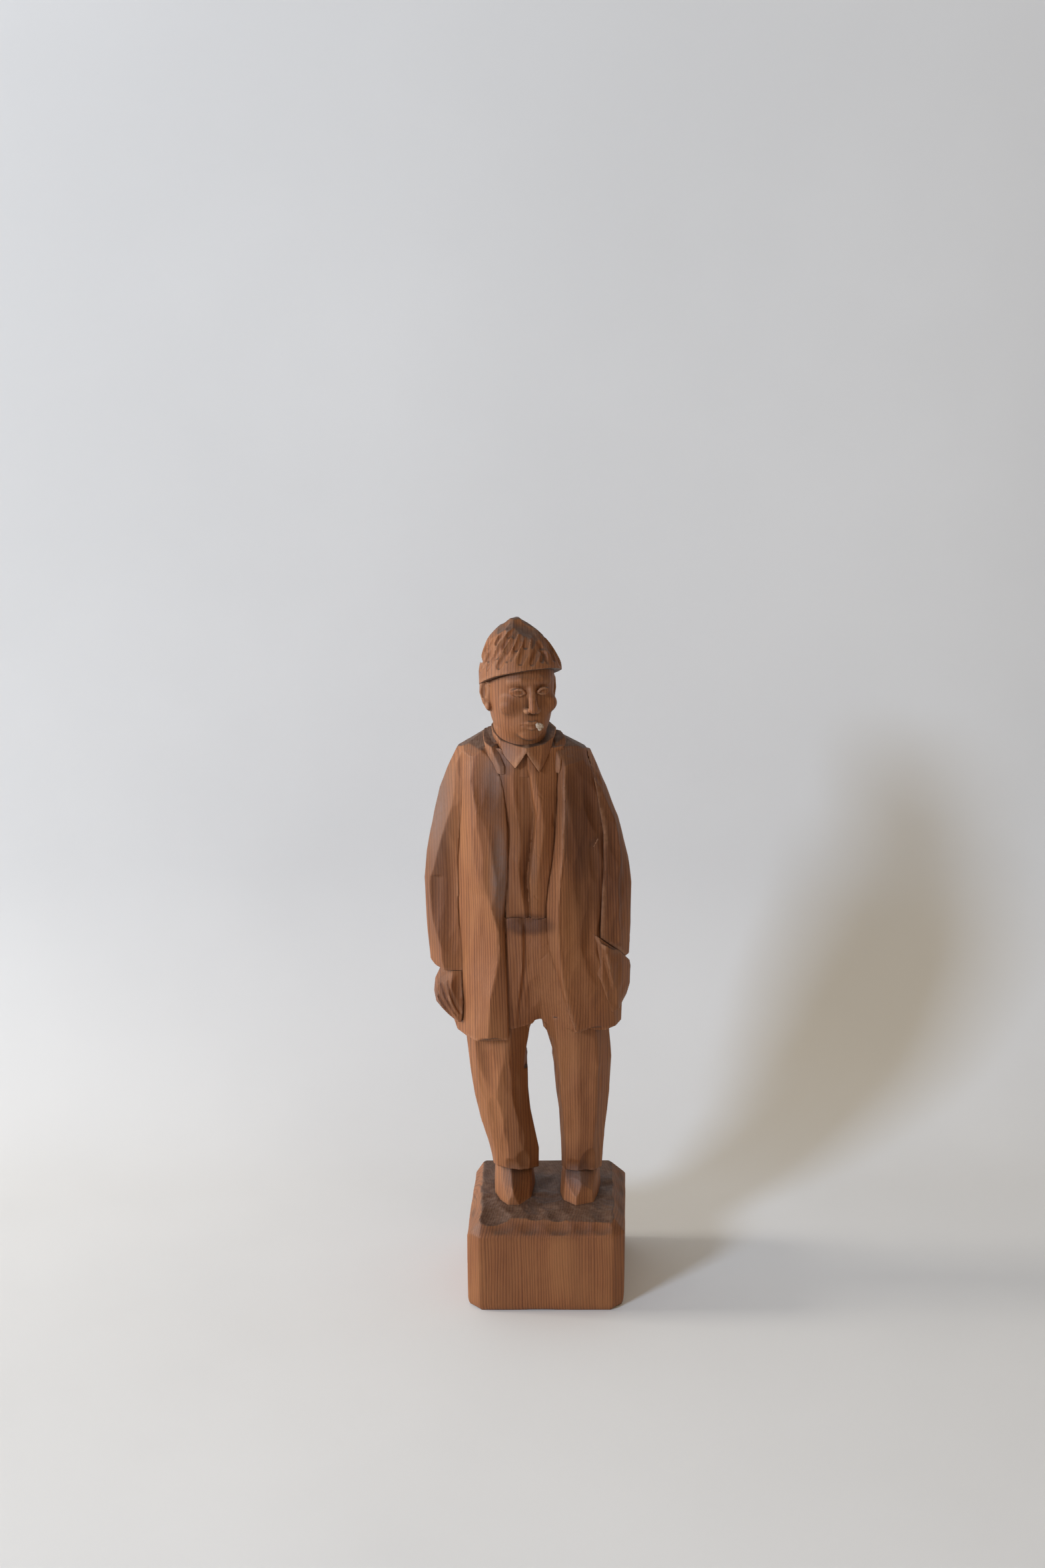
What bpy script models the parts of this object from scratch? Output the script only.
"""Carved wooden figurine: a standing man in a cap, open jacket and baggy trousers,
whittled in flat knife planes out of one upright billet together with its square base.

Every solid below is one region of that single carving, bounded by the stop cuts that
the carver made between garments, so each one is a named node and all of them are rigid
to each other.  Frame: origin at the centre of the base's underside, +Z up along the
grain, -Y out of the figure's chest, +X towards the figure's left hand.
Tables are in millimetres; mm() turns them into metres when the mesh is made.
"""
import math

import bmesh
import bpy
from mathutils import Vector

# ---------------------------------------------------------------- driving dimensions (mm)
GAP = 0.30            # stop-cut clearance between neighbouring regions
BASE_H = 30.5         # height of the base's upright faces
GROUND_Z = 36.8       # carved ground that the shoes stand on
BASE_CHAMFER = 4.8    # flat on each upright corner of the base
CREST_Z = 259.9       # top of the cap
CREST_X = -11.2
HEAD_TURN = math.radians(16.0)   # the head looks a little to its left
HEAD_C = (-9.6, -1.0)            # head axis in plan
WAIST_Z = 151.0
CROTCH_Z = 109.2
SOLE_Z = GROUND_Z + GAP
HEM_SLOPE = 0.062     # the jacket hangs lower at its right-hand side
HEM_Z0 = 105.4

WOOD_SIDE = (0.42, 0.17, 0.065, 1.0)
WOOD_END = (0.23, 0.13, 0.085, 1.0)
GLUE = (0.78, 0.74, 0.66, 1.0)

# ---------------------------------------------------------------- scene
for old in list(bpy.data.objects):
    bpy.data.objects.remove(old, do_unlink=True)


def material(name, colour, rough):
    mat = bpy.data.materials.new(name)
    mat.use_nodes = True
    bsdf = mat.node_tree.nodes["Principled BSDF"]
    bsdf.inputs["Base Color"].default_value = colour
    bsdf.inputs["Roughness"].default_value = rough
    bsdf.inputs["Metallic"].default_value = 0.0
    mat.diffuse_color = colour
    return mat


def wood(name, tint=1.0):
    return material("wood_" + name, (WOOD_SIDE[0] * tint, WOOD_SIDE[1] * tint,
                                     WOOD_SIDE[2] * tint, 1.0), 0.62)


def mm(v):
    return Vector((v[0] / 1000.0, v[1] / 1000.0, v[2] / 1000.0))


# ---------------------------------------------------------------- knife-plane lofts
def at(col, z):
    """Point of a ridge line (z, x, y) at height z, straight between its rows."""
    rows = sorted(col)
    if z <= rows[0][0]:
        return rows[0][1:]
    for a, b in zip(rows, rows[1:]):
        if z <= b[0]:
            t = (z - a[0]) / (b[0] - a[0])
            return (a[1] + t * (b[1] - a[1]), a[2] + t * (b[2] - a[2]))
    return rows[-1][1:]


def offset(pts, d):
    """Outline pts (counter-clockwise) moved outwards by d with mitred corners."""
    out = []
    n = len(pts)
    for i in range(n):
        p, q, r = pts[i - 1], pts[i], pts[(i + 1) % n]
        e = Vector((q[0] - p[0], q[1] - p[1]))
        f = Vector((r[0] - q[0], r[1] - q[1]))
        if e.length < 1e-6 or f.length < 1e-6:
            e = f if e.length < 1e-6 else e
            f = e
        n1 = Vector((e.y, -e.x)).normalized()
        n2 = Vector((f.y, -f.x)).normalized()
        m = n1 + n2
        m = m / max(0.45, m.length_squared / 2.0)
        out.append((q[0] + d * m.x, q[1] + d * m.y))
    return out


def loft(sections):
    """Closed skin over equal-length outlines [(z, [(x, y), ...]), ...], bottom first."""
    bm = bmesh.new()
    rings = [[bm.verts.new(mm((x, y, z))) for x, y in pts] for z, pts in sections]
    n = len(rings[0])
    for a, b in zip(rings, rings[1:]):
        for i in range(n):
            j = (i + 1) % n
            bm.faces.new((a[i], a[j], b[j]))
            bm.faces.new((a[i], b[j], b[i]))
    bm.faces.new(list(reversed(rings[0])))
    bm.faces.new(rings[-1])
    bmesh.ops.remove_doubles(bm, verts=bm.verts, dist=1e-6)
    return bm


def plane_cut(bm, point, normal):
    """Knife cut: drop what lies on the normal's side of the plane and close the cut."""
    bmesh.ops.bisect_plane(bm, geom=bm.verts[:] + bm.edges[:] + bm.faces[:], dist=1e-7,
                           plane_co=mm(point), plane_no=Vector(normal).normalized(),
                           clear_outer=True)
    edges = [e for e in bm.edges if e.is_boundary]
    if edges:
        bmesh.ops.holes_fill(bm, edges=edges, sides=0)


def carve(cols, levels, planes=(), grow=0.0, ends=(0.0, 0.0)):
    """Column loft through ridge lines, trimmed by knife planes, grown by grow."""
    secs = []
    zs = list(levels)
    for k, z in enumerate(zs):
        zz = z - grow - ends[0] if k == 0 else z + grow + ends[1] if k == len(zs) - 1 else z
        pts = [at(c, z) for c in cols]
        secs.append((zz, offset(pts, grow) if grow else pts))
    bm = loft(secs)
    for point, normal in planes:
        nv = Vector(normal).normalized()
        plane_cut(bm, tuple(Vector(point) + nv * grow), normal)
    return bm


def add(name, bm, mat=None, smooth=None):
    bmesh.ops.recalc_face_normals(bm, faces=bm.faces)
    mesh = bpy.data.meshes.new(name)
    bm.to_mesh(mesh)
    bm.free()
    ob = bpy.data.objects.new(name, mesh)
    bpy.context.collection.objects.link(ob)
    if mat is not None:
        mesh.materials.append(mat)
        if smooth is not None:
            mesh.shade_smooth()
            mesh.set_sharp_from_angle(angle=math.radians(smooth))
    else:
        ob.hide_render = True
        ob.display_type = "WIRE"
    return ob


def boolean(ob, cutter, operation="DIFFERENCE"):
    mod = ob.modifiers.new(operation.lower() + "_" + cutter.name, "BOOLEAN")
    mod.operation = operation
    mod.solver = "EXACT"
    mod.object = cutter
    return mod


# ---------------------------------------------------------------- shoulder and hem planes
SHOULDERS = (
    ((-24.5, 2.0, 216.9), (-0.56, 0.0, 0.83)),     # right shoulder, seen from the front at left
    ((8.5, 2.0, 214.7), (0.48, 0.0, 0.88)),        # left shoulder
    ((-26.5, -8.0, 212.6), (-0.30, -0.42, 0.86)),  # fall of the right shoulder to the chest
    ((12.0, -6.0, 211.4), (0.30, -0.36, 0.88)),    # fall of the left shoulder to the chest
    ((-24.0, 12.0, 213.5), (-0.25, 0.55, 0.80)),   # shoulder blades
    ((9.0, 12.0, 212.0), (0.25, 0.55, 0.80)),
)
HEM = ((0.0, 0.0, HEM_Z0), (-HEM_SLOPE, 0.0, 1.0))   # pointing up
POCKET_CUT = ((21.0, -11.0, 141.2), (0.52, 0.34, 0.78))  # mouth of the left pocket, facing up

# ---------------------------------------------------------------- base block
BASE_OUT = ((-24.9, -31.0), (25.3, -31.0), (29.8, -26.2), (32.2, 24.5), (28.0, 29.5),
            (-22.6, 29.5), (-27.0, 24.8), (-29.5, -26.2))
TOP_OUT = ((-23.9, -26.4), (24.6, -26.6), (25.0, -25.6), (26.4, 21.0), (25.4, 22.3),
           (-23.0, 22.2), (-24.0, 21.2), (-24.3, -25.4))


def base_ring(shrink):
    return [(x * (1 - shrink), y * (1 - shrink)) for x, y in BASE_OUT]


bm = loft([(0.0, base_ring(0.030)), (2.0, base_ring(0.020)), (BASE_H - 3.0, base_ring(0.0)),
           (BASE_H, base_ring(0.0)), (GROUND_Z, TOP_OUT)])
plane_cut(bm, (0.0, -26.8, 36.2), (0.02, -0.55, 0.84))
plane_cut(bm, (-24.0, 0.0, 36.6), (-0.80, 0.0, 0.60))
base_block = add("base_block", bm, wood("base", 0.98))

# ---------------------------------------------------------------- shoes
# ridge lines run from the heel (back) to the toe (front): the shoe is lofted upwards
R_SHOE = (
    ((37.0, -16.2, -13.6), (41.0, -16.0, -11.5), (45.5, -16.6, -6.5), (49.0, -17.0, -5.0)),
    ((37.0, -13.0, -16.6), (41.0, -12.6, -15.2), (45.5, -12.2, -9.0), (49.0, -12.0, -7.0)),
    ((37.0, -8.2, -16.2), (41.0, -8.8, -14.6), (45.5, -8.6, -8.5), (49.0, -8.6, -6.5)),
    ((37.0, -5.2, -11.0), (41.0, -6.0, -9.8), (45.5, -6.4, -5.0), (49.0, -6.6, -4.0)),
    ((37.0, -3.6, 3.0), (41.0, -4.2, 3.0), (45.5, -5.0, 3.0), (49.0, -5.4, 3.0)),
    ((37.0, -5.5, 10.5), (41.0, -5.8, 10.0), (45.5, -6.4, 9.5), (49.0, -6.8, 9.0)),
    ((37.0, -15.0, 11.0), (41.0, -15.0, 10.4), (45.5, -15.2, 9.8), (49.0, -15.4, 9.2)),
    ((37.0, -19.4, 4.0), (41.0, -19.4, 3.8), (45.5, -19.2, 3.5), (49.0, -19.0, 3.0)),
    ((37.0, -19.2, -6.0), (41.0, -19.4, -5.4), (45.5, -19.2, -3.2), (49.0, -19.0, -3.0)),
)
L_SHOE = (
    ((37.0, 7.4, -12.6), (41.0, 7.2, -11.0), (45.5, 7.6, -5.5), (49.0, 8.0, -4.0)),
    ((37.0, 10.6, -16.8), (41.0, 10.6, -15.0), (45.5, 11.4, -8.6), (49.0, 11.8, -6.6)),
    ((37.0, 15.4, -16.0), (41.0, 15.0, -14.0), (45.5, 14.8, -7.8), (49.0, 14.8, -6.0)),
    ((37.0, 19.2, -9.6), (41.0, 18.6, -8.4), (45.5, 18.4, -4.6), (49.0, 18.2, -3.6)),
    ((37.0, 21.6, 3.0), (41.0, 21.2, 3.0), (45.5, 20.6, 3.0), (49.0, 20.2, 3.0)),
    ((37.0, 19.6, 10.5), (41.0, 19.4, 10.0), (45.5, 19.0, 9.5), (49.0, 18.6, 9.0)),
    ((37.0, 9.4, 10.8), (41.0, 9.4, 10.2), (45.5, 9.6, 9.6), (49.0, 9.8, 9.0)),
    ((37.0, 6.2, 3.4), (41.0, 6.4, 3.2), (45.5, 7.0, 3.0), (49.0, 7.4, 3.0)),
    ((37.0, 6.0, -6.0), (41.0, 6.2, -5.0), (45.5, 6.8, -3.2), (49.0, 7.2, -3.0)),
)
CUFF_R = ((-13.0, -9.0, 48.6), (0.10, 0.24, 1.0))     # broken bottom edge of each trouser leg
CUFF_L = ((13.5, -9.0, 47.8), (0.04, 0.22, 1.0))


def low(plane, d):
    nv = Vector(plane[1]).normalized()
    return (tuple(Vector(plane[0]) - nv * d), plane[1])


def flip(plane, d=0.0):
    nv = Vector(plane[1]).normalized()
    return (tuple(Vector(plane[0]) + nv * d), tuple(-nv))


SHOE_Z = (SOLE_Z, 41.0, 45.5, 50.0)
right_shoe = add("right_shoe", carve(R_SHOE, SHOE_Z, [low(CUFF_R, GAP)]), wood("shoe", 0.9))
left_shoe = add("left_shoe", carve(L_SHOE, SHOE_Z, [low(CUFF_L, GAP)]), wood("shoe_l", 0.9))

# ---------------------------------------------------------------- trousers
R_LEG = (
    ((112.0, -30.5, -4.0), (100.0, -29.7, -4.0), (88.0, -28.3, -4.0), (75.0, -26.4, -4.0),
     (68.0, -24.9, -4.0), (55.0, -21.5, -3.0), (49.0, -20.3, -3.0), (44.0, -19.8, -3.0)),
    ((112.0, -27.0, -11.0), (100.0, -26.3, -10.6), (88.0, -25.0, -10.0), (75.0, -23.0, -9.4),
     (66.0, -21.2, -8.8), (55.0, -18.9, -8.2), (44.0, -18.0, -8.0)),
    ((112.0, -16.0, -14.5), (100.0, -14.8, -14.4), (92.0, -16.0, -14.2), (86.6, -17.8, -13.8),
     (78.0, -18.3, -13.2), (67.0, -16.2, -12.3), (58.0, -13.7, -11.8), (44.0, -12.2, -11.4)),
    ((112.0, -12.0, -14.5), (100.0, -13.6, -14.2), (92.0, -13.8, -14.0), (81.0, -12.8, -13.2),
     (72.0, -11.0, -12.4), (64.0, -9.3, -11.5), (58.0, -8.2, -11.0), (44.0, -7.2, -10.2)),
    ((112.0, -4.6, -8.0), (105.6, -5.9, -7.0), (91.0, -6.9, -5.0), (79.6, -6.5, -5.0),
     (70.0, -5.5, -4.4), (61.6, -3.8, -4.0), (54.0, -2.2, -3.4), (44.0, -2.3, -3.0)),
    ((112.0, -4.6, 6.0), (105.0, -6.0, 7.0), (91.0, -7.4, 7.0), (80.0, -7.2, 7.0),
     (70.0, -6.4, 7.0), (61.0, -4.8, 6.5), (54.0, -3.4, 6.0), (44.0, -3.2, 5.0)),
    ((112.0, -9.0, 14.0), (100.0, -10.4, 13.6), (85.0, -10.8, 13.0), (70.0, -9.6, 12.4),
     (55.0, -7.4, 11.4), (44.0, -6.8, 10.6)),
    ((112.0, -21.0, 14.5), (100.0, -21.5, 13.8), (85.0, -20.6, 13.2), (70.0, -18.2, 12.4),
     (55.0, -15.6, 11.6), (44.0, -14.8, 11.0)),
    ((112.0, -30.0, 6.0), (100.0, -29.2, 6.0), (85.0, -27.4, 6.0), (70.0, -24.6, 5.8),
     (55.0, -20.8, 5.4), (44.0, -19.2, 5.0)),
)
L_LEG = (
    ((112.0, -2.0, -8.0), (107.5, -1.3, -7.0), (100.0, 1.1, -5.6), (90.0, 3.2, -5.0),
     (79.0, 4.1, -4.4), (71.0, 5.3, -4.0), (58.7, 6.0, -3.4), (44.0, 6.4, -3.0)),
    ((112.0, 3.0, -14.5), (100.0, 4.4, -13.6), (91.0, 5.0, -12.8), (80.0, 6.0, -12.4),
     (69.0, 6.8, -11.6), (58.0, 7.8, -10.6), (44.0, 8.2, -9.6)),
    ((112.0, 11.0, -15.6), (100.0, 12.0, -14.8), (91.0, 12.4, -14.2), (80.0, 12.6, -13.6),
     (69.0, 12.4, -12.8), (58.0, 12.4, -12.0), (44.0, 12.6, -11.0)),
    ((112.0, 17.5, -14.0), (101.0, 18.9, -13.2), (92.0, 19.5, -13.0), (80.0, 19.1, -12.4),
     (69.0, 18.7, -11.6), (58.0, 17.9, -10.8), (44.0, 17.2, -9.8)),
    ((112.0, 23.6, -4.0), (102.0, 23.9, -4.0), (92.0, 24.9, -4.0), (78.0, 24.2, -4.0),
     (68.0, 23.3, -3.4), (56.0, 22.4, -3.0), (44.0, 21.6, -3.0)),
    ((112.0, 23.4, 6.0), (100.0, 24.0, 6.0), (85.0, 24.0, 6.0), (70.0, 22.8, 5.6),
     (56.0, 21.6, 5.4), (44.0, 21.0, 5.0)),
    ((112.0, 17.0, 14.0), (100.0, 18.0, 13.6), (85.0, 18.2, 13.0), (70.0, 17.4, 12.2),
     (56.0, 16.6, 11.4), (44.0, 16.2, 10.8)),
    ((112.0, 5.0, 14.0), (100.0, 7.0, 13.6), (85.0, 8.2, 13.0), (70.0, 8.8, 12.2),
     (56.0, 9.0, 11.4), (44.0, 9.2, 10.8)),
    ((112.0, -2.0, 6.0), (104.0, 0.2, 6.4), (90.0, 3.4, 6.4), (78.0, 4.6, 6.4),
     (70.0, 5.4, 6.0), (56.0, 6.6, 5.6), (44.0, 7.0, 5.0)),
)
# hips: the part of the trousers that shows between the jacket's open fronts
HIPS = (
    ((151.0, -12.9, -8.4), (140.0, -12.9, -8.4), (124.0, -12.5, -8.4), (102.0, -12.4, -8.4)),
    ((151.0, -12.7, -12.4), (147.5, -12.6, -14.0), (140.0, -12.9, -14.6), (124.0, -12.5, -14.8),
     (109.0, -12.4, -14.4), (102.0, -12.4, -14.2)),
    ((151.0, -6.0, -12.8), (147.5, -6.0, -15.4), (140.0, -6.2, -16.4), (128.0, -6.4, -16.0),
     (118.0, -6.0, -13.5), (109.2, -5.2, -9.0), (102.0, -5.4, -8.9)),
    ((151.0, -2.4, -12.8), (147.5, -2.4, -15.6), (140.0, -2.0, -16.6), (128.0, -1.8, -16.2),
     (118.0, -1.6, -13.5), (109.2, -1.8, -9.0), (102.0, 0.4, -8.9)),
    ((151.0, -0.1, -12.4), (147.5, 0.0, -14.6), (140.0, 0.6, -16.0), (130.0, 3.6, -16.4),
     (120.0, 6.0, -16.4), (111.0, 8.8, -16.0), (102.0, 9.0, -14.8)),
    ((151.0, -0.1, -8.4), (147.5, -0.1, -8.4), (140.0, 0.5, -8.4), (130.0, 3.7, -8.4),
     (120.0, 6.1, -8.4), (111.0, 9.0, -8.4), (102.0, 9.0, -8.4)),
)
LEG_Z = (43.0, 49.0, 55.0, 61.6, 68.0, 74.0, 80.0, 86.6, 92.0, 100.0, 104.0, 112.0)


def legs(grow=0.0):
    return (carve(R_LEG, LEG_Z, [flip(CUFF_R)], grow),
            carve(L_LEG, LEG_Z, [flip(CUFF_L)], grow))


right_leg, left_leg = legs()
trousers = add("trousers", carve(HIPS, (108.0, 111.0, 118.0, 124.0, 130.0, 140.0,
                                        147.5, 151.0)), wood("trousers"))
for nm, part_bm in (("right_leg_union", right_leg), ("left_leg_union", left_leg)):
    boolean(trousers, add(nm, part_bm), "UNION")
# the gap between the legs, arched up to the crotch and falling towards the back
GAP_RISE = 0.40
CROTCH = ((96.0, -7.4, 2.6), (100.0, -6.6, 1.0), (105.0, -6.0, -0.7), (107.5, -5.1, -1.2),
          (CROTCH_Z, -4.0, -1.5))
crotch = add("crotch_arch", loft([
    (z, [(x0, -30.0), (x1, -30.0), (x1, -8.0 + (CROTCH_Z - z) / GAP_RISE),
         (x0, -8.0 + (CROTCH_Z - z) / GAP_RISE)]) for z, x0, x1 in CROTCH]))
boolean(trousers, crotch)

# ---------------------------------------------------------------- sleeves and hand
R_SLEEVE = (
    ((209.0, -29.0, -5.0), (202.0, -29.0, -7.0), (193.0, -29.7, -8.0), (184.0, -31.2, -7.5),
     (171.0, -31.9, -7.2), (160.0, -32.2, -7.0), (148.0, -31.8, -7.2), (140.0, -31.1, -7.6),
     (132.0, -30.5, -8.0), (126.0, -30.2, -8.0)),
    ((213.0, -27.6, 9.0), (209.0, -28.0, 10.0), (200.0, -28.4, 11.0), (184.0, -30.0, 12.0), (160.0, -31.0, 12.4),
     (140.0, -30.6, 11.0), (126.0, -30.2, 10.0)),
    ((213.0, -30.6, 9.0), (209.0, -31.2, 10.6), (200.0, -32.6, 12.0), (184.0, -35.2, 13.4), (160.0, -36.8, 14.0),
     (140.0, -36.0, 12.6), (126.0, -35.2, 11.0)),
    ((211.0, -32.3, 4.0), (204.0, -35.7, 6.0), (197.0, -38.2, 7.0), (183.5, -41.2, 8.0),
     (172.0, -43.1, 8.6), (162.0, -44.2, 9.0), (152.0, -43.7, 9.0), (141.0, -42.8, 8.4),
     (126.0, -41.2, 8.0)),
    ((211.6, -32.6, 1.5), (204.0, -36.2, 0.6), (197.0, -39.0, 0.6), (183.5, -42.0, 0.0),
     (172.5, -44.0, 0.0), (162.0, -45.1, 0.0), (152.7, -44.7, 0.0), (141.0, -44.1, 0.0),
     (129.0, -43.1, 0.0), (126.0, -41.0, 0.0)),
    ((209.0, -32.7, -3.0), (202.0, -33.1, -5.0), (194.0, -33.6, -7.0), (186.0, -36.4, -6.7),
     (178.0, -38.7, -6.6), (170.5, -40.7, -6.0), (162.0, -43.0, -4.6), (155.0, -42.9, -5.0),
     (147.0, -41.7, -6.0), (142.0, -40.3, -7.0), (137.5, -38.9, -8.0), (132.0, -38.6, -8.2),
     (126.0, -37.0, -8.4)),
)
L_SLEEVE = (
    ((209.0, 15.6, -5.0), (198.0, 18.2, -7.2), (188.6, 19.8, -8.4), (181.0, 21.0, -8.6),
     (168.0, 21.1, -9.0), (156.0, 20.6, -9.6), (145.0, 20.0, -10.6), (132.0, 20.0, -11.0)),
    ((211.0, 16.6, -2.0), (195.6, 20.9, -5.6), (186.0, 25.2, -6.4), (178.0, 26.7, -6.8),
     (168.0, 27.2, -7.2), (155.0, 27.0, -7.6), (143.0, 27.0, -8.2), (132.0, 27.0, -8.4)),
    ((210.4, 16.4, 2.0), (197.6, 21.9, 1.0), (184.8, 26.9, 0.0), (170.0, 30.3, 0.0),
     (160.0, 31.6, 0.0), (144.0, 31.8, 0.0), (136.0, 31.4, 0.0), (132.0, 31.2, 0.0)),
    ((210.0, 16.2, 4.0), (197.0, 21.0, 7.0), (184.0, 25.8, 8.0), (170.0, 29.2, 8.6),
     (160.0, 30.6, 9.0), (144.0, 30.6, 8.4), (132.0, 30.0, 8.0)),
    ((210.5, 15.2, 9.6), (205.0, 17.0, 11.4), (200.0, 18.0, 12.2), (184.0, 20.8, 13.4), (170.0, 23.4, 14.0),
     (160.0, 24.4, 14.0), (144.0, 24.6, 12.6), (132.0, 24.4, 11.4)),
    ((210.5, 13.2, 9.6), (205.0, 13.8, 10.6), (200.0, 14.8, 11.2), (184.0, 17.4, 12.0), (170.0, 19.2, 12.4),
     (160.0, 19.8, 12.4), (144.0, 20.0, 11.0), (132.0, 20.0, 10.0)),
)
R_SLEEVE_Z = (128.0, 132.0, 137.5, 142.0, 148.0, 155.0, 162.0, 171.0, 178.0, 184.0, 194.0,
              202.0, 209.0, 213.0)
L_SLEEVE_Z = (132.0, 144.0, 156.0, 160.0, 168.0, 178.0, 186.0, 197.0, 205.0, 210.5)
CUFF_CUT = ((-34.0, -8.0, 127.6), (-0.16, 0.0, -1.0))       # underside of the right cuff
CUFF_BEVEL = ((-43.0, 0.0, 129.8), (-0.75, -0.10, -0.66))
CAP_PLANES = [SHOULDERS[0], SHOULDERS[2], SHOULDERS[4]]


def right_sleeve_bm(grow=0.0):
    return carve(R_SLEEVE, R_SLEEVE_Z, CAP_PLANES + [CUFF_BEVEL], grow)


def left_sleeve_bm(grow=0.0):
    return carve(L_SLEEVE, L_SLEEVE_Z,
                 [SHOULDERS[1], SHOULDERS[3], SHOULDERS[5], flip(POCKET_CUT)], grow)


right_sleeve = add("right_sleeve", right_sleeve_bm(), wood("sleeve_r", 1.05))
left_sleeve = add("left_sleeve", left_sleeve_bm(), wood("sleeve_l", 0.92))

R_HAND = (
    ((127.0, -31.2, -7.6), (122.0, -31.0, -8.6), (116.0, -30.6, -9.6), (110.0, -31.0, -10.0),
     (108.0, -31.6, -9.6)),
    ((127.0, -31.4, 7.0), (118.0, -31.6, 7.4), (108.0, -32.4, 2.0)),
    ((127.0, -37.4, 7.6), (118.0, -38.6, 7.6), (112.0, -37.2, 5.0), (108.0, -33.6, 1.0)),
    ((127.0, -39.2, 1.0), (122.0, -41.5, 1.0), (117.0, -42.0, 1.0), (113.0, -41.2, 0.0),
     (110.4, -38.0, -2.0), (108.0, -34.4, -4.0)),
    ((127.0, -38.4, -4.0), (122.0, -40.4, -5.4), (117.0, -40.6, -6.2), (113.0, -38.8, -7.0),
     (110.4, -36.2, -7.6), (108.0, -33.4, -7.8)),
    ((127.0, -34.6, -8.0), (122.0, -35.6, -9.4), (117.0, -35.6, -10.4), (112.0, -34.0, -10.6),
     (108.0, -32.4, -10.2)),
)
right_hand = add("right_hand", carve(R_HAND, (108.4, 110.4, 113.0, 117.0, 122.0, 127.6 - GAP)),
                 wood("hand", 1.0))

# hand in the left pocket, covered by the jacket's cloth
POCKET = (
    ((146.0, 15.0, -14.6), (141.0, 15.8, -14.6), (132.0, 18.2, -15.0), (126.6, 20.6, -15.0),
     (121.0, 22.4, -14.2), (113.0, 25.0, -12.2)),
    ((146.0, 18.0, -13.2), (139.3, 20.4, -14.0), (133.0, 22.6, -14.4), (126.3, 24.0, -13.8),
     (120.0, 25.4, -12.6), (113.0, 27.2, -10.0)),
    ((146.0, 26.5, -9.0), (138.0, 27.6, -8.8), (130.0, 28.2, -9.0), (122.0, 28.2, -9.0),
     (113.0, 27.6, -8.0)),
    ((140.0, 30.4, -2.0), (136.0, 30.4, -2.0), (133.0, 30.9, -2.0), (128.0, 31.8, -2.0),
     (121.0, 31.6, -2.0), (116.7, 30.4, -2.0), (113.0, 28.6, -2.0)),
    ((146.0, 29.0, 8.0), (128.0, 30.2, 8.0), (113.0, 28.4, 7.0)),
    ((146.0, 20.0, 8.0), (128.0, 20.0, 8.0), (113.0, 20.0, 7.0)),
    ((146.0, 14.0, -8.0), (128.0, 15.0, -8.0), (113.0, 20.0, -8.0)),
)
POCKET_Z = (113.2, 117.0, 121.0, 126.4, 130.0, 133.0, 138.0, 146.0)


def pocket_bm(grow=0.0):
    return carve(POCKET, POCKET_Z, [low(POCKET_CUT, GAP)], grow)


left_pocket = add("left_pocket", pocket_bm(), wood("pocket", 0.95))

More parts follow.
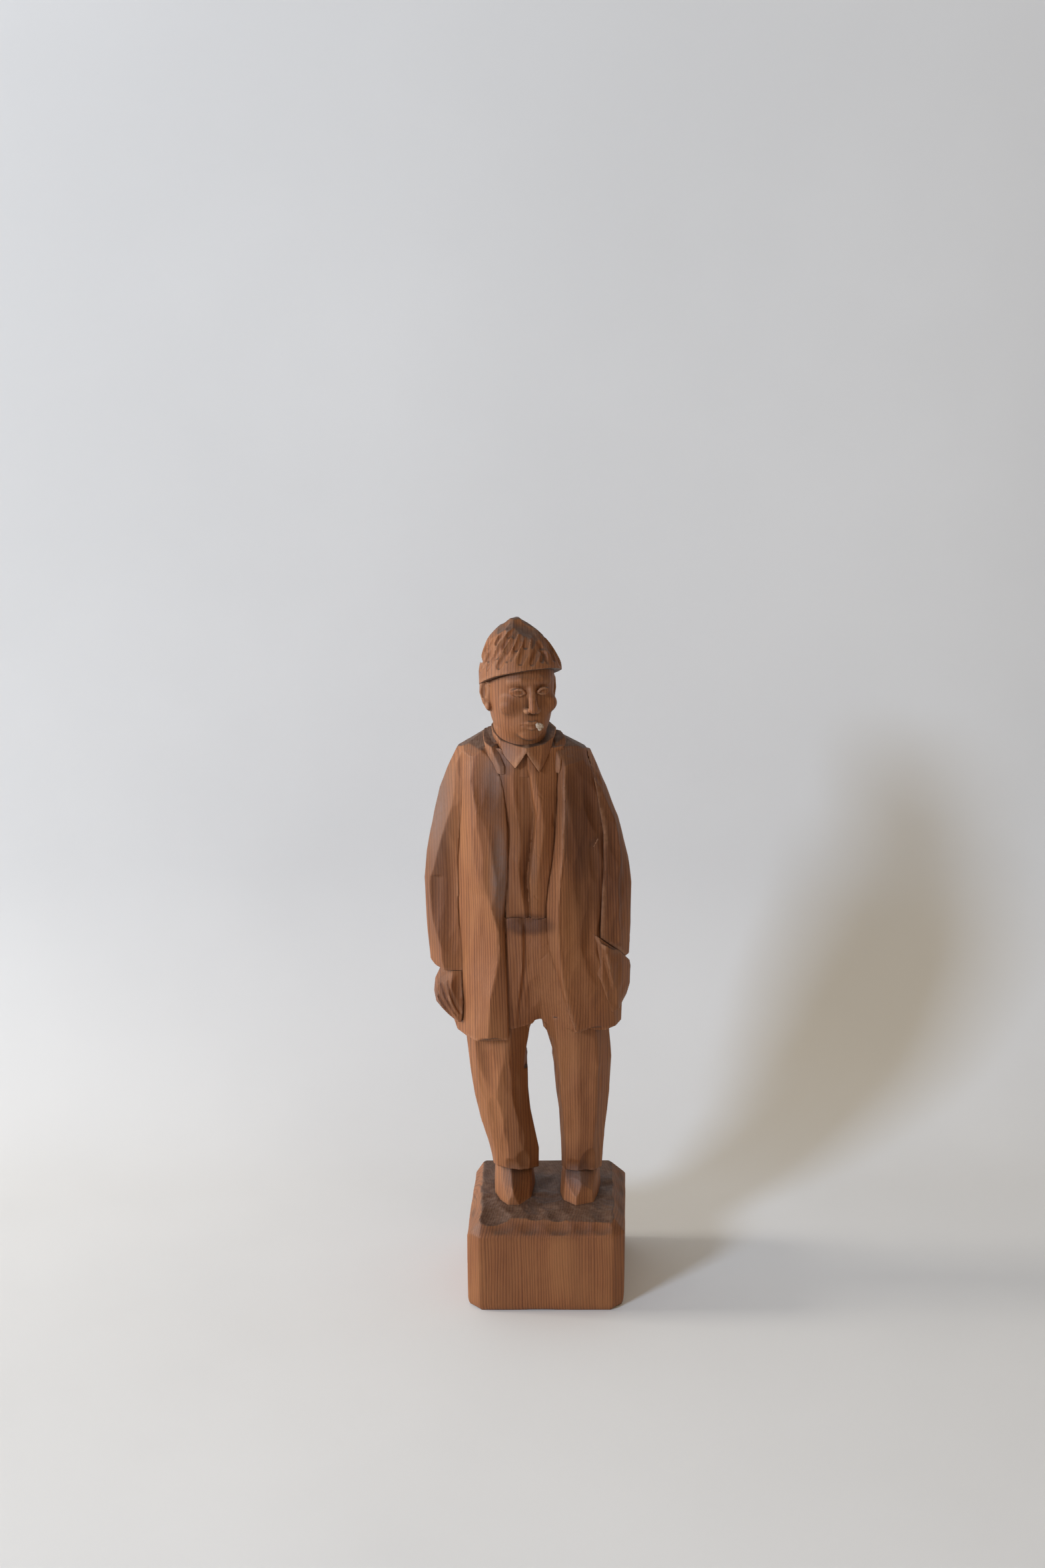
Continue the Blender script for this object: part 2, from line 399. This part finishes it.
# ---------------------------------------------------------------- jacket
FLOOR_Y = -8.0       # bottom of the open front, behind shirt and trousers
JACKET = (
    # right front, running from the sleeve crease to the open edge
    ((209.0, -30.6, -4.0), (202.0, -30.6, -6.0), (193.0, -31.2, -6.8), (171.0, -33.2, -5.6),
     (148.0, -33.2, -5.6), (132.0, -31.6, -7.0), (127.0, -30.4, -9.0), (117.0, -30.0, -10.0),
     (103.0, -29.6, -12.0)),
    ((209.0, -28.0, -8.0), (202.0, -28.5, -8.6), (194.6, -27.5, -10.3), (185.0, -27.3, -11.0),
     (172.0, -26.9, -12.0), (163.0, -24.5, -14.0), (160.0, -23.2, -15.0), (150.0, -25.0, -14.0),
     (135.0, -24.0, -15.4), (117.0, -25.6, -16.0), (103.0, -26.0, -17.5)),
    ((212.0, -26.0, -8.6), (202.0, -27.6, -9.4), (195.0, -26.6, -11.2), (189.6, -25.7, -12.4),
     (184.0, -24.1, -13.2), (178.0, -22.2, -14.1), (173.0, -21.0, -15.0), (168.6, -19.8, -16.0),
     (161.0, -19.8, -16.5), (156.0, -21.0, -17.0), (152.0, -18.9, -17.6), (147.0, -16.0, -18.4),
     (135.0, -15.6, -19.0), (130.0, -19.2, -20.0), (124.0, -20.6, -20.5), (103.0, -21.7, -21.0)),
    ((215.5, -23.3, -8.0), (212.0, -21.6, -10.6), (208.6, -19.0, -12.8), (204.0, -16.7, -14.0),
     (198.5, -15.6, -15.0), (191.0, -14.9, -15.5), (185.0, -14.3, -16.0), (174.0, -14.1, -16.6),
     (166.0, -14.3, -17.0), (159.0, -15.0, -17.5), (151.4, -16.4, -18.0), (147.0, -15.5, -18.4),
     (135.0, -15.0, -19.0), (126.0, -14.4, -19.5), (103.0, -14.1, -19.6)),
    ((215.5, -21.6, FLOOR_Y), (208.6, -17.6, FLOOR_Y), (204.0, -15.4, FLOOR_Y),
     (198.5, -14.8, FLOOR_Y), (185.0, -13.6, FLOOR_Y), (151.4, -13.2, FLOOR_Y),
     (135.0, -13.2, FLOOR_Y), (103.0, -12.8, FLOOR_Y)),
    # left front
    ((215.5, 4.6, FLOOR_Y), (200.0, 4.7, FLOOR_Y), (188.0, 4.3, FLOOR_Y),
     (171.0, 2.8, FLOOR_Y), (156.0, 0.8, FLOOR_Y), (147.5, 0.5, FLOOR_Y), (140.0, 0.9, FLOOR_Y),
     (130.0, 4.1, FLOOR_Y), (120.0, 6.5, FLOOR_Y), (111.0, 9.4, FLOOR_Y), (103.0, 9.4, FLOOR_Y)),
    ((214.0, 4.5, -8.3), (207.0, 4.7, -11.0), (200.0, 4.3, -12.5), (195.6, 4.4, -13.5),
     (188.0, 3.8, -14.0), (181.0, 3.4, -15.0), (171.0, 2.3, -15.5), (163.0, 1.1, -15.5),
     (156.0, 0.3, -15.7), (147.5, 0.3, -16.0), (140.0, 1.0, -16.6), (130.0, 4.3, -18.0),
     (120.0, 6.6, -18.2), (111.0, 9.5, -19.0), (103.0, 10.6, -19.6)),
    ((213.0, 7.7, -8.4), (207.6, 6.8, -12.0), (198.5, 6.4, -15.0), (192.6, 6.7, -16.0),
     (184.0, 6.2, -17.0), (176.7, 6.0, -17.5), (166.7, 5.1, -18.0), (154.0, 4.4, -18.5),
     (146.6, 4.4, -19.0), (136.5, 5.2, -19.5), (126.0, 6.4, -20.0), (116.0, 8.3, -20.5),
     (108.0, 11.4, -21.0), (103.0, 12.6, -21.0)),
    ((209.0, 13.6, -6.5), (201.5, 15.2, -8.5), (191.0, 15.2, -10.4), (180.0, 15.3, -11.6),
     (170.0, 14.4, -12.8), (156.0, 13.0, -14.4), (145.0, 12.8, -15.4), (133.0, 14.4, -16.2),
     (120.0, 17.6, -16.6), (103.0, 20.6, -15.4)),
    ((209.0, 15.0, -4.0), (198.0, 19.2, -5.6), (188.6, 21.6, -6.2), (168.0, 22.6, -6.6),
     (150.0, 20.0, -9.0), (145.0, 18.2, -11.0), (138.0, 18.0, -12.8), (126.6, 21.5, -13.4),
     (116.0, 25.0, -11.6), (103.0, 26.6, -9.4)),
    # left side and back
    ((209.0, 14.8, 2.0), (198.0, 19.0, 2.0), (168.0, 23.0, 2.0), (140.0, 26.0, -3.0),
     (128.0, 29.0, -4.0), (116.0, 28.6, -4.0), (107.0, 28.3, -4.6), (103.0, 26.8, -4.6)),
    ((209.0, 13.4, 8.0), (198.0, 16.0, 9.5), (168.0, 21.0, 11.0), (140.0, 24.4, 10.0),
     (128.0, 27.6, 9.4), (116.0, 28.0, 9.0), (103.0, 27.4, 9.0)),
    ((212.0, 6.0, 10.5), (200.0, 9.0, 14.4), (183.0, 12.0, 16.4), (160.0, 15.0, 17.4),
     (140.0, 17.0, 17.2), (120.0, 20.0, 17.6), (103.0, 22.0, 18.2)),
    ((220.0, -8.4, 9.5), (212.0, -8.2, 13.5), (200.0, -7.6, 17.2), (183.0, -6.6, 18.8),
     (160.0, -5.4, 19.8), (140.0, -4.6, 19.2), (120.0, -4.0, 19.4), (103.0, -3.6, 20.0)),
    ((212.0, -22.0, 10.5), (200.0, -23.8, 14.4), (183.0, -25.2, 16.2), (160.0, -27.0, 17.2),
     (140.0, -28.0, 17.0), (120.0, -28.4, 17.4), (103.0, -28.6, 18.2)),
    ((209.0, -30.0, 8.0), (198.0, -30.6, 9.0), (168.0, -32.4, 9.6), (140.0, -32.4, 9.0),
     (127.0, -33.2, 8.6), (103.0, -33.8, 9.4)),
    ((209.0, -30.8, 2.0), (198.0, -31.4, 2.0), (168.0, -34.0, 2.0), (140.0, -33.0, 0.0),
     (127.0, -33.2, -2.0), (115.0, -34.2, -3.0), (108.0, -34.6, -4.0), (103.0, -33.0, -5.0)),
)
JACKET_Z = (100.0, 108.0, 116.0, 124.0, 130.0, 135.0, 140.0, 147.0, 151.4, 156.0, 161.0, 168.6,
            173.0, 178.0, 184.0, 191.0, 198.5, 204.0, 208.6, 215.5, 223.0)
jacket = add("jacket", carve(JACKET, JACKET_Z, list(SHOULDERS) + [flip(HEM)]), wood("jacket"))
clear_jacket = add("clear_jacket", carve(JACKET, JACKET_Z, [flip(HEM)], GAP))
boolean(trousers, clear_jacket)
boolean(jacket, crotch)
boolean(jacket, add("clear_right_sleeve", right_sleeve_bm(GAP)))
boolean(jacket, add("clear_left_sleeve", left_sleeve_bm(GAP)))
boolean(jacket, add("clear_left_pocket", pocket_bm(GAP)))
clear_hand = add("clear_right_hand",
                 carve(R_HAND, (108.4, 110.4, 113.0, 117.0, 122.0, 127.6 - GAP), (), GAP))
boolean(jacket, clear_hand)
boolean(left_sleeve, add("clear_pocket_mouth", pocket_bm(GAP)))

# ---------------------------------------------------------------- neck, head and cap
def turned(pts, centre=HEAD_C, a=HEAD_TURN):
    """Head-frame outline (x to its left, y back) turned about the head's axis."""
    return [(centre[0] + x * math.cos(a) - y * math.sin(a),
             centre[1] + x * math.sin(a) + y * math.cos(a)) for x, y in pts]


def mirror_ring(half):
    """Outline from its front point round the left side to the back, mirrored."""
    right = [(-x, y) for x, y in reversed(half) if x > 1e-6]
    return list(half) + right


# rows: (z, front, cheek, temple, side, back corner, back) in the head's own plan
HEAD_ROWS = (
    (207.0, 0.0, (-7.5, 4.0, -6.6, 7.0, -3.0, 8.0, 1.0, 6.0, 6.0, 8.0)),
    (214.0, 0.0, (-7.8, 4.0, -6.9, 7.2, -3.2, 8.2, 1.0, 6.2, 6.2, 8.2)),
    (216.6, 0.0, (-13.4, 4.0, -12.6, 7.0, -8.4, 8.6, 0.0, 6.6, 7.4, 9.4)),
    (219.4, 0.0, (-15.6, 4.6, -14.4, 8.2, -10.2, 9.8, 0.5, 7.4, 8.8, 11.0)),
    (223.0, 0.0, (-15.2, 5.0, -14.2, 9.2, -10.2, 10.9, 0.8, 8.2, 10.2, 12.4)),
    (226.4, 0.0, (-16.2, 5.0, -14.8, 9.6, -10.4, 11.3, 1.0, 8.8, 11.0, 13.2)),
    (230.0, 0.0, (-19.4, 3.4, -15.4, 9.8, -11.0, 11.5, 1.0, 9.0, 11.4, 13.6)),
    (232.0, 0.0, (-18.4, 3.2, -14.6, 9.6, -11.0, 11.6, 1.0, 9.2, 11.6, 13.8)),
    (237.0, 0.0, (-15.6, 3.6, -13.4, 9.2, -11.2, 11.7, 1.0, 9.2, 11.6, 13.8)),
    (240.5, 0.0, (-16.6, 5.0, -15.8, 9.6, -12.2, 11.8, 1.0, 9.2, 11.6, 13.8)),
    (245.0, 0.0, (-13.0, 4.2, -12.2, 8.0, -9.6, 10.0, 1.0, 7.8, 9.6, 11.6)),
)


def head_ring(row):
    f, x1, y1, x2, y2, x3, y3, x4, y4, yb = row[2]
    return turned(mirror_ring([(0.0, f), (x1, y1), (x2, y2), (x3, y3), (x4, y4), (0.0, yb)]))


def head_bm(grow=0.0, z0=None, z1=None):
    secs = []
    for k, row in enumerate(HEAD_ROWS):
        z = row[0] - (grow if k == 0 else 0.0) + (grow if k == len(HEAD_ROWS) - 1 else 0.0)
        pts = head_ring(row)
        secs.append((z, offset(pts, grow) if grow else pts))
    return loft(secs)


def rim_plane(d=0.0):
    """The cap's rim, high over the brow and low behind the ears."""
    point = Vector((HEAD_C[0], HEAD_C[1] - 16.0, 243.6))
    normal = Vector((-0.17, 0.34, 1.0)).normalized()
    return tuple(point + normal * d), tuple(normal)


CAP_ROWS = (   # z, half width, front, back, sideways shift of the section
    (226.0, 14.0, -17.2, 15.6, 0.0),
    (234.0, 14.2, -17.6, 15.9, -0.1),
    (241.0, 14.5, -17.6, 16.0, 0.0),
    (244.2, 14.2, -17.0, 15.8, 0.1),
    (248.7, 12.3, -15.0, 14.4, -0.3),
    (252.1, 10.5, -12.8, 12.4, -0.8),
    (256.2, 6.8, -8.8, 8.6, -1.2),
    (258.7, 3.6, -4.8, 4.8, -1.5),
    (CREST_Z, 1.0, -1.2, 1.2, -1.7),
)
CAP_SIDES = 18


def cap_ring(row, grow=0.0):
    z, hw, f, b, sx = row
    pts = []
    for k in range(CAP_SIDES):
        a = 2.0 * math.pi * (k + 0.5) / CAP_SIDES
        c, s = math.cos(a), math.sin(a)
        x = math.copysign(abs(c) ** 0.88, c) * (hw + grow)
        y = math.copysign(abs(s) ** 0.88, s) * ((b if s > 0 else -f) + grow)
        pts.append((x + sx, y))
    return turned(pts)


def cap_bm(grow=0.0, lower=0.0):
    bm = loft([(r[0] + (grow if i == len(CAP_ROWS) - 1 else 0.0), cap_ring(r, grow))
               for i, r in enumerate(CAP_ROWS)])
    point, normal = rim_plane(-grow - lower)
    plane_cut(bm, point, tuple(-Vector(normal)))
    return bm


cap = add("cap", cap_bm(), wood("cap", 1.05), 32)
head = add("head", head_bm(), wood("head", 1.05), 40)

EAR = (   # z, reach outwards, front and back edge of the ear
    (225.6, 0.7, -1.2, 1.4), (228.0, 1.7, -1.9, 2.6), (232.0, 2.3, -1.9, 3.6),
    (236.0, 2.2, -1.6, 3.8), (238.2, 1.2, -0.8, 2.8),
)
for side, nm in ((-1, "right_ear"), (1, "left_ear")):
    secs = []
    for z, reach, f, b in EAR:
        x0, x1 = 9.0, 11.3 + reach
        pts = [(x0, f + 1.5), (x1 - 0.6, f + 1.3), (x1, f + 2.6), (x1 - 0.2, b + 0.8),
               (x1 - 1.2, b + 1.5), (x0, b + 1.5)]
        pts = [(side * x, y) for x, y in pts]
        secs.append((z, turned(pts if side > 0 else list(reversed(pts)))))
    boolean(head, add(nm, loft(secs)), "UNION")
boolean(head, add("clear_cap", cap_bm(GAP)))

# ---------------------------------------------------------------- shirt and the two collars
SHIRT_COLLAR = (
    ((200.0, -11.2, -15.0), (205.6, -11.6, -15.0), (210.0, -13.2, -14.2), (216.0, -16.0, -11.0),
     (220.0, -17.4, -7.0)),
    ((200.0, -10.4, -15.6), (205.6, -10.6, -16.4), (210.0, -9.6, -16.8), (216.0, -9.4, -13.6),
     (220.0, -10.2, -11.0)),
    ((200.0, -6.9, -14.0), (206.6, -6.9, -14.6), (212.0, -6.9, -15.6), (216.0, -6.9, -13.0),
     (220.0, -7.2, -10.6)),
    ((200.0, -3.0, -14.6), (206.6, -2.9, -16.2), (210.0, -2.0, -15.4), (216.0, -0.6, -11.0),
     (220.0, -0.4, -8.0)),
    ((200.0, 1.6, -9.5), (206.6, 2.0, -10.0), (212.0, 3.0, -8.4), (216.0, 2.8, -6.0),
     (220.0, 2.2, -4.0)),
    ((200.0, 4.0, 1.0), (212.0, 4.0, 1.0), (220.0, 3.4, 1.0)),
    ((200.0, 0.0, 8.6), (212.0, 0.0, 8.6), (220.0, -1.0, 8.0)),
    ((200.0, -8.5, 11.0), (212.0, -8.5, 11.0), (220.0, -8.5, 10.4)),
    ((200.0, -16.6, 8.6), (212.0, -16.6, 8.6), (220.0, -16.4, 8.0)),
    ((200.0, -20.0, 1.0), (212.0, -20.0, 1.0), (220.0, -20.0, 1.0)),
    ((200.0, -16.6, -9.0), (205.6, -16.8, -9.5), (210.0, -18.4, -7.6), (216.0, -19.4, -4.6),
     (220.0, -19.8, -3.0)),
)
COLLAR_Z = (204.6, 206.6, 210.0, 212.0, 216.0, 220.0)
COLLAR_TOP = ((-8.5, 0.0, 219.4), (0.05, -0.30, 1.0))
COLLAR_UNDER = (((-10.5, -16.0, 205.6), (-0.55, -0.30, -0.80)),
                ((-2.6, -16.0, 205.4), (0.62, -0.30, -0.74)))


def shirt_collar_bm(grow=0.0, open_top=False):
    """The shirt's collar; open_top leaves it tall, to clear all that stands above it."""
    zs = COLLAR_Z[:-1] + (228.0,) if open_top else COLLAR_Z
    return carve(SHIRT_COLLAR, zs, ([] if open_top else [COLLAR_TOP]) + list(COLLAR_UNDER), grow)


shirt_collar = add("shirt_collar", shirt_collar_bm(), wood("shirt_collar", 1.0))
boolean(shirt_collar, add("clear_head", head_bm(GAP)))

JACKET_COLLAR = (
    ((202.0, -15.4, -13.4), (206.0, -16.6, -13.0), (210.0, -19.4, -11.4), (214.0, -22.0, -8.4),
     (219.0, -22.4, -4.0)),
    ((202.0, -15.2, -14.4), (206.0, -14.6, -15.2), (210.0, -16.8, -13.6), (214.0, -19.6, -10.4),
     (219.0, -21.0, -6.0)),
    ((202.0, -15.0, -13.4), (206.0, -13.4, -13.6), (210.0, -14.8, -11.4), (214.0, -16.8, -7.4),
     (219.0, -18.0, -3.0)),
    ((202.0, -15.2, 0.0), (210.0, -16.0, 0.0), (219.0, -16.0, 0.0)),
    ((202.0, -8.5, 8.0), (219.0, -8.5, 8.0)),
    ((202.0, 2.0, 0.0), (210.0, 2.0, 0.0), (219.0, 1.6, 0.0)),
    ((202.0, 4.0, -9.0), (208.0, 4.0, -9.0), (214.0, 3.8, -7.0), (219.0, 3.2, -4.0)),
    ((202.0, 4.3, -9.6), (208.0, 4.3, -10.0), (214.0, 4.8, -8.2), (219.0, 4.4, -5.0)),
    ((202.0, 7.0, 0.0), (212.0, 7.0, 0.0), (219.0, 5.8, 0.0)),
    ((202.0, 3.0, 11.5), (212.0, 3.0, 11.5), (219.0, 1.0, 10.6)),
    ((202.0, -8.5, 14.0), (212.0, -8.5, 14.4), (219.0, -8.5, 13.0)),
    ((202.0, -20.0, 11.5), (212.0, -20.0, 11.5), (219.0, -18.4, 10.6)),
    ((202.0, -23.4, 0.0), (212.0, -23.4, 0.0), (219.0, -23.0, 0.0)),
)
JCOLLAR_Z = (203.4, 206.0, 210.0, 214.0, 219.0)
JCOLLAR_TOP = ((-8.5, 0.0, 217.6), (0.04, -0.36, 1.0))


def jacket_collar_bm(grow=0.0, open_top=False):
    zs = JCOLLAR_Z[:-1] + (228.0,) if open_top else JCOLLAR_Z
    return carve(JACKET_COLLAR, zs, [] if open_top else [JCOLLAR_TOP], grow)


jacket_collar = add("jacket_collar", jacket_collar_bm(), wood("jacket_collar", 0.95))
boolean(jacket_collar, add("clear_shirt_collar", shirt_collar_bm(GAP)))
boolean(jacket_collar, add("clear_head_again", head_bm(GAP)))

SHIRT = (
    ((210.0, -16.6, -8.4), (204.0, -15.0, -8.4), (198.5, -14.4, -8.4), (185.0, -13.2, -8.4),
     (151.0, -12.8, -8.4)),
    ((210.0, -16.8, -11.0), (204.0, -15.2, -11.0), (198.5, -14.5, -11.2), (185.0, -13.3, -11.4),
     (170.0, -13.2, -11.8), (151.0, -12.8, -12.0)),
    ((210.0, -12.0, -13.4), (203.0, -12.6, -13.2), (190.4, -12.0, -13.4), (183.0, -10.8, -13.4),
     (170.0, -11.4, -13.4), (160.0, -9.6, -14.0), (151.0, -7.2, -13.6)),
    ((210.0, -7.4, -14.2), (204.4, -5.8, -14.4), (196.0, -4.9, -15.2), (190.0, -3.6, -15.6),
     (177.5, -4.9, -15.6), (165.6, -6.4, -15.6), (156.0, -5.6, -15.6), (151.0, -5.3, -15.0)),
    ((210.0, -4.4, -14.4), (203.0, -4.2, -14.6), (197.0, -2.8, -15.8), (186.0, -1.4, -16.2),
     (178.0, -2.2, -16.2), (165.0, -3.6, -16.0), (151.0, -3.4, -15.2)),
    ((210.0, 2.0, -9.5), (203.0, 3.8, -11.4), (195.0, 4.0, -12.6), (188.0, 3.4, -13.2),
     (178.0, 2.4, -14.0), (163.0, 0.7, -14.0), (151.0, -0.1, -13.6)),
    ((210.0, 3.6, -8.4), (200.0, 4.3, -8.4), (188.0, 3.9, -8.4), (171.0, 2.4, -8.4),
     (151.0, -0.1, -8.4)),
)
SHIRT_Z = (WAIST_Z + GAP, 156.0, 165.0, 171.0, 178.0, 184.0, 190.0, 197.0, 203.0, 208.0)
shirt = add("shirt", carve(SHIRT, SHIRT_Z), wood("shirt"))
boolean(shirt, clear_jacket)
for nm, cutter in (("clear_shirt_collar_b", shirt_collar_bm(GAP)),
                   ("clear_jacket_collar_b", jacket_collar_bm(GAP)),
                   ("clear_neck_b", head_bm(GAP))):
    boolean(shirt, add(nm, cutter))
for nm, cutter in (("clear_shirt_collar_c", shirt_collar_bm(GAP, True)),
                   ("clear_jacket_collar_c", jacket_collar_bm(GAP, True)),
                   ("clear_neck_c", head_bm(GAP))):
    boolean(jacket, add(nm, cutter))

# ---------------------------------------------------------------- dried glue at the mouth
bm = bmesh.new()
bmesh.ops.create_icosphere(bm, subdivisions=1, radius=0.0014)
for v in bm.verts:
    v.co.x *= 1.25
    v.co.z *= 0.8
spot = turned([(2.9, -17.0)])[0]
bmesh.ops.translate(bm, verts=bm.verts, vec=mm((spot[0], spot[1], 222.6)))
glue = add("glue_remnant", bm, material("dried_glue", GLUE, 0.85), 60)
